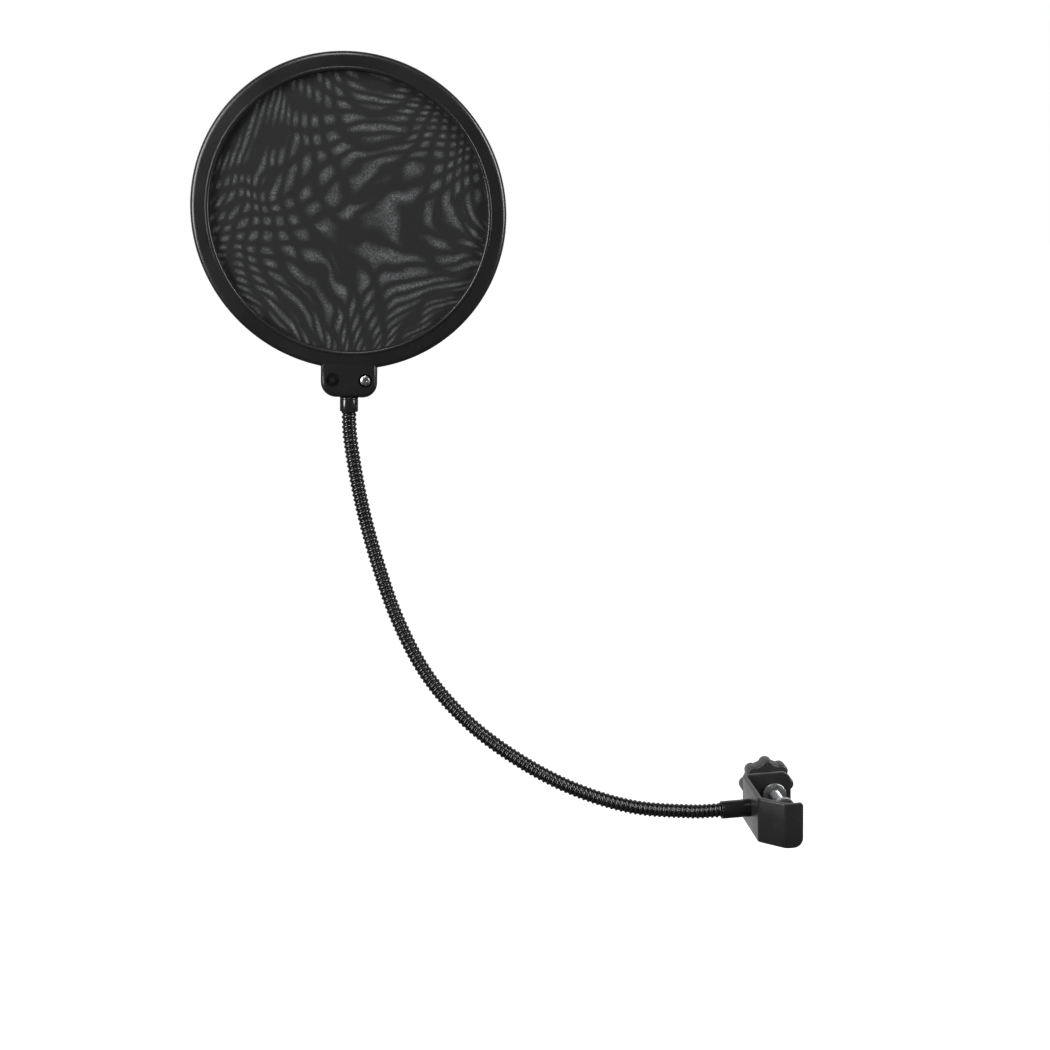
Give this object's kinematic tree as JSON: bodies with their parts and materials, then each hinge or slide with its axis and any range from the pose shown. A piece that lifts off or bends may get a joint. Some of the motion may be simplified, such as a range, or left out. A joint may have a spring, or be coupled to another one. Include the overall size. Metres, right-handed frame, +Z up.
{
  "type": "pop filter",
  "caption": "Round double-screen pop filter on a gooseneck with a screw clamp that grips a round stand tube.",
  "frame": {"origin": "on the axis of the stand tube seated in the clamp's jaw, half way up the clamp strip", "axes": "+Z up the stand tube; +Y along the thumb screw, from the jaw to the knob; the gooseneck leaves the clamp towards -X and the screens face -Y"},
  "size_m": [0.2986, 0.0931, 0.4019],
  "materials": {
    "clamp_black_paint": "satin black paint on bent steel strip",
    "black_chrome": "glossy black plated metal",
    "spring_steel": "oiled spring wire",
    "zinc_steel": "bright zinc plated steel",
    "screw_steel": "black plated screw, bright where the driver bears",
    "black_plastic": "fine spark texture, moulded black",
    "black_rubber": "matte",
    "nylon_mesh": "fine woven nylon, stretched flat"
  },
  "bodies": {
    "clamp": {"clamp_frame": "clamp_black_paint", "thread_bush": "zinc_steel", "lower_ferrule": "black_chrome", "ferrule_screw": "zinc_steel", "ferrule_lock_washer": "zinc_steel", "neck_wrap_01": "black_chrome", "neck_core_01": "spring_steel"},
    "pad": {"pressure_pad": "zinc_steel", "pad_cushion": "black_rubber"},
    "thumb_screw": {"clamp_screw": "zinc_steel", "clamp_knob": "black_plastic"},
    "neck_02": {"neck_wrap_02": "black_chrome", "neck_core_02": "spring_steel"},
    "neck_03": {"neck_wrap_03": "black_chrome", "neck_core_03": "spring_steel"},
    "neck_04": {"neck_wrap_04": "black_chrome", "neck_core_04": "spring_steel"},
    "neck_05": {"neck_wrap_05": "black_chrome", "neck_core_05": "spring_steel"},
    "neck_06": {"neck_wrap_06": "black_chrome", "neck_core_06": "spring_steel"},
    "neck_07": {"neck_wrap_07": "black_chrome", "neck_core_07": "spring_steel"},
    "neck_08": {"neck_wrap_08": "black_chrome", "neck_core_08": "spring_steel"},
    "neck_09": {"neck_wrap_09": "black_chrome", "neck_core_09": "spring_steel"},
    "neck_10": {"neck_wrap_10": "black_chrome", "neck_core_10": "spring_steel"},
    "neck_11": {"neck_wrap_11": "black_chrome", "neck_core_11": "spring_steel", "upper_ferrule": "black_chrome", "swivel_screw": "zinc_steel"},
    "head": {"front_hoop": "black_plastic", "rear_hoop": "black_plastic", "spacer_ring": "black_plastic", "front_screen": "nylon_mesh", "rear_screen": "nylon_mesh", "bracket_screws": "screw_steel"}
  },
  "joints": [
    {"name": "pad_travel", "type": "slide", "parent": "clamp", "child": "pad", "axis": [0, 1, 0], "range_m": [-0.009, 0.0155]},
    {"name": "thumb_screw_turn", "type": "hinge", "parent": "pad", "child": "thumb_screw", "pos_m": [0, 0.04642, 0], "axis": [0, 1, 0], "range_deg": [-3240, 5580]},
    {"name": "neck_bend_01", "type": "hinge", "parent": "clamp", "child": "neck_02", "pos_m": [-0.04868, 0.01834, 0.00047], "axis": [0.0446, 0.9989, 0.0156], "range_deg": [-22, 22]},
    {"name": "neck_bend_02", "type": "hinge", "parent": "neck_02", "child": "neck_03", "pos_m": [-0.08023, 0.02103, 0.00497], "axis": [-0.2251, 0.0682, -0.9719], "range_deg": [-22, 22]},
    {"name": "neck_bend_03", "type": "hinge", "parent": "neck_03", "child": "neck_04", "pos_m": [-0.10989, 0.02648, 0.01558], "axis": [0.2383, 0.9709, 0.0247], "range_deg": [-22, 22]},
    {"name": "neck_bend_04", "type": "hinge", "parent": "neck_04", "child": "neck_05", "pos_m": [-0.13694, 0.03383, 0.03103], "axis": [-0.5181, 0.157, -0.8408], "range_deg": [-22, 22]},
    {"name": "neck_bend_05", "type": "hinge", "parent": "neck_05", "child": "neck_06", "pos_m": [-0.16104, 0.04215, 0.05036], "axis": [0.3302, 0.9431, -0.0385], "range_deg": [-22, 22]},
    {"name": "neck_bend_06", "type": "hinge", "parent": "neck_06", "child": "neck_07", "pos_m": [-0.1804, 0.05095, 0.0742], "axis": [-0.7881, 0.2388, -0.5673], "range_deg": [-22, 22]},
    {"name": "neck_bend_07", "type": "hinge", "parent": "neck_07", "child": "neck_08", "pos_m": [-0.19368, 0.05921, 0.1021], "axis": [0.3351, 0.9349, -0.1169], "range_deg": [-22, 22]},
    {"name": "neck_bend_08", "type": "hinge", "parent": "neck_08", "child": "neck_09", "pos_m": [-0.20259, 0.0656, 0.13217], "axis": [-0.921, 0.2791, -0.272], "range_deg": [-22, 22]},
    {"name": "neck_bend_09", "type": "hinge", "parent": "neck_09", "child": "neck_10", "pos_m": [-0.20902, 0.06961, 0.16328], "axis": [0.297, 0.954, -0.0405], "range_deg": [-22, 22]},
    {"name": "neck_bend_10", "type": "hinge", "parent": "neck_10", "child": "neck_11", "pos_m": [-0.21269, 0.07167, 0.19501], "axis": [-0.9554, 0.2895, -0.0591], "range_deg": [-22, 22]},
    {"name": "head_swivel", "type": "hinge", "parent": "neck_11", "child": "head", "pos_m": [-0.21225, 0.07197, 0.21829], "axis": [0.0618, 0, 0.9981], "range_deg": [-90, 90]}
  ],
  "couplings": [
    {"joint": "thumb_screw_turn", "follows": "pad_travel", "rad_per_m": 6283.2}
  ]
}
